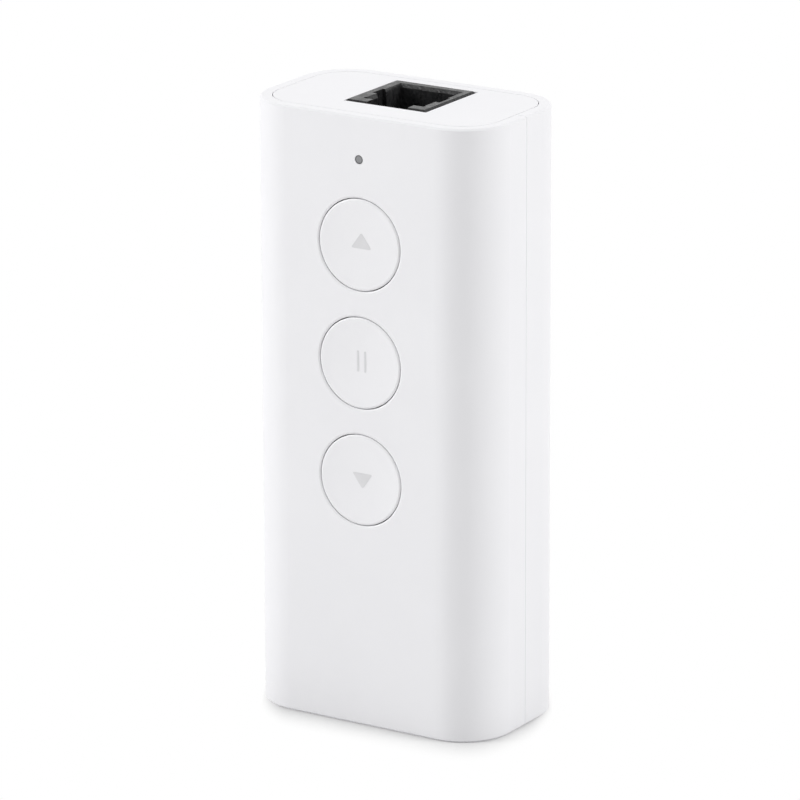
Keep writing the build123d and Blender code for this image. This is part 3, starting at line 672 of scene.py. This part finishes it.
# Angles in degrees; the camera looks at a point on the object's middle line
camera = {
    "azimuth": 32.262, "elevation": 16.692, "roll": -0.176, "distance": 0.84988, "aimHeight": 0.044,
    "lens": 273.18, "sensor": 36.0, "shiftX": -0.0076, "shiftY": 0.0051, "clipStart": 0.05, "clipEnd": 20.0,
}
aim = Vector((0, 0, camera["aimHeight"]))


# From the object outwards: azimuth 0 is its front, and it grows towards the right side
def directionOf(turn, rise):
    return Vector((math.sin(turn) * math.cos(rise), -math.cos(turn) * math.cos(rise), math.sin(rise)))


def makeCamera():
    turn, rise = math.radians(camera["azimuth"]), math.radians(camera["elevation"])
    data = bpy.data.cameras.new("camera")
    data.lens = camera["lens"]
    data.sensor_width = camera["sensor"]
    data.shift_x = camera["shiftX"]
    data.shift_y = camera["shiftY"]
    data.clip_start = camera["clipStart"]
    data.clip_end = camera["clipEnd"]
    made = bpy.data.objects.new("camera", data)
    bpy.context.scene.collection.objects.link(made)
    roll = Matrix.Rotation(math.radians(camera["roll"]), 4, "Z")
    facing = Matrix.Rotation(turn, 4, "Z") @ Matrix.Rotation(math.radians(90) - rise, 4, "X") @ roll
    made.matrix_world = Matrix.Translation(aim + directionOf(turn, rise) * camera["distance"]) @ facing
    bpy.context.scene.camera = made


# Each lamp: its direction from the object, and the light it puts on a white sheet that faces it
lamps = {
    "lampLeft": {"azimuth": -53.5, "elevation": 25.0, "level": 0.433, "size": 0.6, "distance": 1.6},
    "lampRight": {"azimuth": 111.5, "elevation": 28.0, "level": 0.350, "size": 0.6, "distance": 1.6},
    "lampBack": {"azimuth": 200.0, "elevation": 60.0, "level": 0.162, "size": 1.0, "distance": 1.6},
}


def makeLamp(name, values):
    towards = directionOf(math.radians(values["azimuth"]), math.radians(values["elevation"]))
    data = bpy.data.lights.new(name, "AREA")
    data.shape = "DISK"
    data.size = values["size"]
    data.energy = values["level"] * math.pi ** 2 * values["distance"] ** 2  # watts for that level
    lamp = bpy.data.objects.new(name, data)
    bpy.context.scene.collection.objects.link(lamp)
    lamp.location = aim + towards * values["distance"]
    lamp.rotation_mode = "QUATERNION"
    lamp.rotation_quaternion = towards.to_track_quat("Z", "Y")


# White near the horizon where it is seen or mirrored, greyer overhead, and dimmer as a light
world = {"ambient": 0.58, "overhead": 0.45, "paleTo": 0.31, "greyFrom": 0.56}


def makeWorld():
    made = bpy.data.worlds.new("paleStudio")
    bpy.context.scene.world = made
    made.use_nodes = True
    tree = made.node_tree
    background = tree.nodes["Background"]
    background.inputs["Color"].default_value = (1.0, 1.0, 1.0, 1.0)
    split = tree.nodes.new("ShaderNodeSeparateXYZ")
    tree.links.new(tree.nodes.new("ShaderNodeTexCoord").outputs["Generated"], split.inputs[0])
    sky = addSpread(tree, split.outputs["Z"], 1.0, world["overhead"], world["paleTo"], world["greyFrom"])
    extra = addMath(tree, "MULTIPLY", addSeen(tree), addMath(tree, "SUBTRACT", sky, world["ambient"]))
    tree.links.new(addMath(tree, "ADD", extra, world["ambient"]), background.inputs["Strength"])


makeFloor()
for lampName, lampValues in lamps.items():
    makeLamp(lampName, lampValues)
makeWorld()
makeCamera()
bpy.context.scene.view_settings.view_transform = "Standard"
print("Studio ready")
